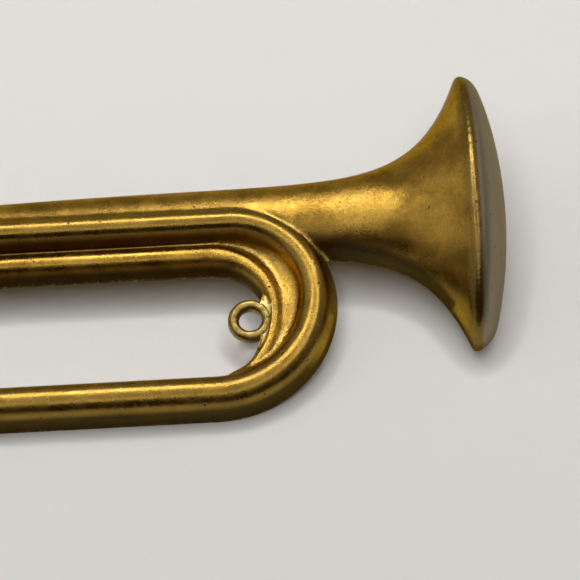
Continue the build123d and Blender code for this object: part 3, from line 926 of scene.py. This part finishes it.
def fold_depth(mesh, places, normals):
    """How far each point lies under its smoothed surroundings."""
    count = len(mesh.vertices)
    ends = np.empty(len(mesh.edges) * 2, int)
    mesh.edges.foreach_get("vertices", ends)
    first, second = ends.reshape(-1, 2).T
    links = np.bincount(first, minlength=count) + np.bincount(second, minlength=count)
    blurred = places.copy()
    for _ in range(BLUR_PASSES):
        total = np.zeros_like(blurred)
        np.add.at(total, first, blurred[second])
        np.add.at(total, second, blurred[first])
        blurred = 0.5 * blurred + 0.5 * total / links[:, None]
    return ((blurred - places) * normals).sum(1)


def rim_crest(y):
    """X of the rolled rim's crest at y."""
    across = np.clip((y - BELL_Y) / (TUBE_R + RIM_FLARE), -1, 1)
    rolled = ROLL_R * math.sin(math.atan(RIM_RISE / RIM_RISE_LENGTH))
    return ROLL_START_X + ROLL_BOW * (1 - across ** 2) + rolled


def mark_surface(obj):
    """Stores where the shell's lit creases, shaded hollow and skirts, raised and coarse areas, rim and mouth
    are, 0 to 1.
    """
    mesh = obj.data
    places, normals = surface_points(mesh)
    depth = fold_depth(mesh, places, normals)
    x, y, z = places[:, 0], places[:, 1], places[:, 2] - LIFT
    south = -normals[:, 1]
    from_middle = np.abs(x - LOOP_MID[0])
    edge = np.array([loop_edge(value) for value in x])
    crest = rim_crest(y)
    past = crest + ROLL_R * math.sin(ROLL_DOWN)
    bends = ramp(from_middle, *BENDS_X)
    shade = ramp(south, *FACING_SOUTH) * (1 - bends)
    inside = ramp(y - edge, *INSIDE_NORTH) * ramp(y - LOOP_MID[1] + LOOP_HALF_WIDTH, *INSIDE_SOUTH)
    low = ramp(z, *SKIRT_Z) * (1 - inside) + ramp(z, *INSIDE_SKIRT_Z) * inside
    tube = ramp(y - edge, *TUBE_FROM_LOOP)
    band = ramp(from_middle, *BAND_X) * ramp(z, *BAND_TOP) * ramp(z, *BAND_BOTTOM)
    marks = {
        # lit_crease: creases that don't face south, where struck_tone paints glints; struck_relief also
        # roughens them.
        "lit_crease": ramp(depth, *CREASE_DEPTH) * (CREASE_LEAST + (1 - CREASE_LEAST) * bends) * (1 - shade),
        # hollow: south-facing hollow surfaces, where struck_tone paints shade.
        "hollow": ramp(depth, *HOLLOW_DEPTH) * shade * ramp(z, *HOLLOW_Z) * ramp(y, *HOLLOW_Y),
        # shaded_skirt: low south-facing sides, painted dark by struck_tone and made rougher by struck_brass.
        "shaded_skirt": low * ramp(south, *SKIRT_FACING) * ramp(depth, *SKIRT_DEPTH),
        "rim": ramp(x, crest - RIM_WIDTH, crest),
        "edge": ramp(z, *EDGE_Z),
        "raised_brown": ramp(z, *RAISED_Z) * (1 - tube),
        "coarse": np.maximum(tube * ramp(x, *THROAT_X), band),
        "mouth": ramp(x, past, past + MOUTH_FADE),
    }
    for name, values in marks.items():
        layer = mesh.attributes.new(name, "FLOAT", "POINT")
        layer.data.foreach_set("value", values)


# Set. Lights are placed in metres, the camera and the paper in millimetres.
LAMP = (1.0, 0.985, 0.955)
RING_LAMPS = 20
RING_EAST = 0.33                      # the ring's half axes, and the place of its middle, in metres
RING_NORTH = 0.515
RING_MIDDLE = 0.205
RING_HEIGHT = 0.80
RING_BAND = 0.075                     # a lamp's width
RING_OVERLAP = 1.06                   # a lamp's length, as a share of its part of the ring
LAMP_SOUTH = 2.8                      # radiance at the ring's south and north ends
LAMP_NORTH = 20.0
LAMP_BIAS = 3.4                       # 1 would brighten evenly from south to north
ROOM_FADE = (-0.6, 0.4)               # northward part of a direction, from the dark end to the pale end
TILT = math.radians(25)               # camera's lean from straight above, towards -Y
ROLL = math.radians(3.05)
LOOK_AT = (22.8, -3.0, LIFT)
DISTANCE = 260.0
FRAME_WIDTH = 40.6                    # width of the view at the object
SENSOR = 36.0
CLIP = (0.01, 20.0)                   # in metres
PAPER_HALF = 1500.0
PAPER_GAP = 0.03
FITTINGS_Y = 1.86                     # the line along which the pin fittings stand on the paper


def camera():
    """A long lens over the brooch, leaning south and turned a little."""
    back = Vector((0, -math.sin(TILT), math.cos(TILT)))
    across = Vector((1, 0, 0))
    upward = back.cross(across)
    right = across * math.cos(ROLL) - upward * math.sin(ROLL)
    top = across * math.sin(ROLL) + upward * math.cos(ROLL)
    data = bpy.data.cameras.new("camera")
    data.sensor_width = SENSOR
    data.lens = SENSOR * DISTANCE / FRAME_WIDTH
    data.clip_start, data.clip_end = CLIP
    obj = bpy.data.objects.new("camera", data)
    bpy.context.scene.collection.objects.link(obj)
    rows = [[right[i], top[i], back[i]] for i in range(3)]
    place = (Vector(LOOK_AT) + back * DISTANCE) * MM
    obj.matrix_world = matrix_of(rows, place)
    bpy.context.scene.camera = obj


def matrix_of(rows, place):
    """A placing matrix from its three rows of turning and its place."""
    return Matrix([[*rows[0], place[0]], [*rows[1], place[1]], [*rows[2], place[2]], [0, 0, 0, 1]])


def strip_light(name, place, long_way, length, width, radiance):
    """A long area light that faces the object, placed and sized in metres."""
    data = bpy.data.lights.new(name, "AREA")
    data.shape = "RECTANGLE"
    data.size = length
    data.size_y = width
    data.energy = radiance * math.pi * length * width
    data.color = LAMP
    obj = bpy.data.objects.new(name, data)
    bpy.context.scene.collection.objects.link(obj)
    away = (Vector(place) - Vector(LOOK_AT) * MM).normalized()
    along = Vector(long_way)
    along = (along - away * along.dot(away)).normalized()
    side = away.cross(along)
    obj.matrix_world = matrix_of([[along[i], side[i], away[i]] for i in range(3)], place)


def lights():
    """An oval ring of lamps over the brooch, brightest at its north end, with a dim panel over it and a
    dim wall to the west."""
    step = 2 * math.pi / RING_LAMPS
    for k in range(RING_LAMPS):
        angle = step * (k + 0.5)
        east, north = math.cos(angle), math.sin(angle)
        place = (LOOK_AT[0] * MM + RING_EAST * east, RING_MIDDLE + RING_NORTH * north, RING_HEIGHT)
        along_ring = (-RING_EAST * north, RING_NORTH * east, 0)
        length = RING_OVERLAP * step * math.hypot(*along_ring[:2])
        radiance = LAMP_SOUTH + (LAMP_NORTH - LAMP_SOUTH) * ((1 + north) / 2) ** LAMP_BIAS
        strip_light(f"ring_{k}", place, along_ring, length, RING_BAND, radiance)
    strip_light("panel", (0.02, 0.20, 0.95), (1, 0, 0), length=1.1, width=1.0, radiance=0.34)
    strip_light("west_wall", (-0.75, 0.15, 0.55), (0, 1, 0), length=1.0, width=0.7, radiance=0.42)


def room():
    """Dark to the south and paler to the north."""
    world = bpy.data.worlds.new("room")
    bpy.context.scene.world = world
    world.use_nodes = True
    tree = world.node_tree
    direction = tree.nodes.new("ShaderNodeTexCoord")
    split = tree.nodes.new("ShaderNodeSeparateXYZ")
    tree.links.new(direction.outputs["Generated"], split.inputs[0])
    spread = tree.nodes.new("ShaderNodeMapRange")
    spread.inputs["From Min"].default_value, spread.inputs["From Max"].default_value = ROOM_FADE
    tree.links.new(split.outputs["Y"], spread.inputs["Value"])
    fade = tree.nodes.new("ShaderNodeValToRGB")
    fade.color_ramp.elements[0].color = ROOM_SOUTH
    fade.color_ramp.elements[1].color = ROOM_NORTH
    tree.links.new(spread.outputs["Result"], fade.inputs["Fac"])
    tree.links.new(fade.outputs["Color"], tree.nodes["Background"].inputs["Color"])


def floor():
    """Pale paper. The brooch leans on it: it stands on its pin fittings and on its lower run's edge."""
    edge_y = LOOP_MID[1] - LOOP_HALF_WIDTH - LOWER_RIDGE[2]
    lean = LIFT / (FITTINGS_Y - edge_y)
    corners = []
    for x, y in ((-1, -1), (1, -1), (1, 1), (-1, 1)):
        height = LIFT - PAPER_GAP - (y * PAPER_HALF - edge_y) * lean
        corners.append((x * PAPER_HALF * MM, y * PAPER_HALF * MM, height * MM))
    plane = new_object("floor", corners, [(0, 1, 2, 3)])
    n = Nodes("paper")
    split = n.tree.nodes.new("ShaderNodeSeparateXYZ")
    n.link(n.place, split, 0)
    # Painted light: the paper is painted paler towards the north, where the lamps are brightest.
    north = n.combine(n.combine(split.outputs["Y"], 0.02, "MULTIPLY"), 0.5, "ADD")
    cloud = n.combine(n.noise(7.0, 4.0, 0.6), 0.2, "MULTIPLY")
    n.link(n.steps(n.combine(cloud, north, "ADD"), PAPER_TONES), n.shader, "Base Color")
    n.shader.inputs["Roughness"].default_value = 0.75
    n.link(n.bump(n.noise(0.35, 3.0, 0.6), 0.03, 0.5), n.shader, "Normal")
    give_material(plane, n.material)


front_shell()
cord_ring("ring_bell_end", "cord_ring_bell_end", 1)
cord_ring("ring_mouthpiece_end", "cord_ring_mouthpiece_end", -1)
ring_web("web_bell_end", "ring_solder_bell_end", 1)
ring_web("web_mouthpiece_end", "ring_solder_mouthpiece_end", -1)
dress({"strip_brass": strip_brass(), "soft_solder": soft_solder(), "pin_steel": pin_steel()})
camera()
lights()
room()
floor()
bpy.context.scene.view_settings.view_transform = "Standard"
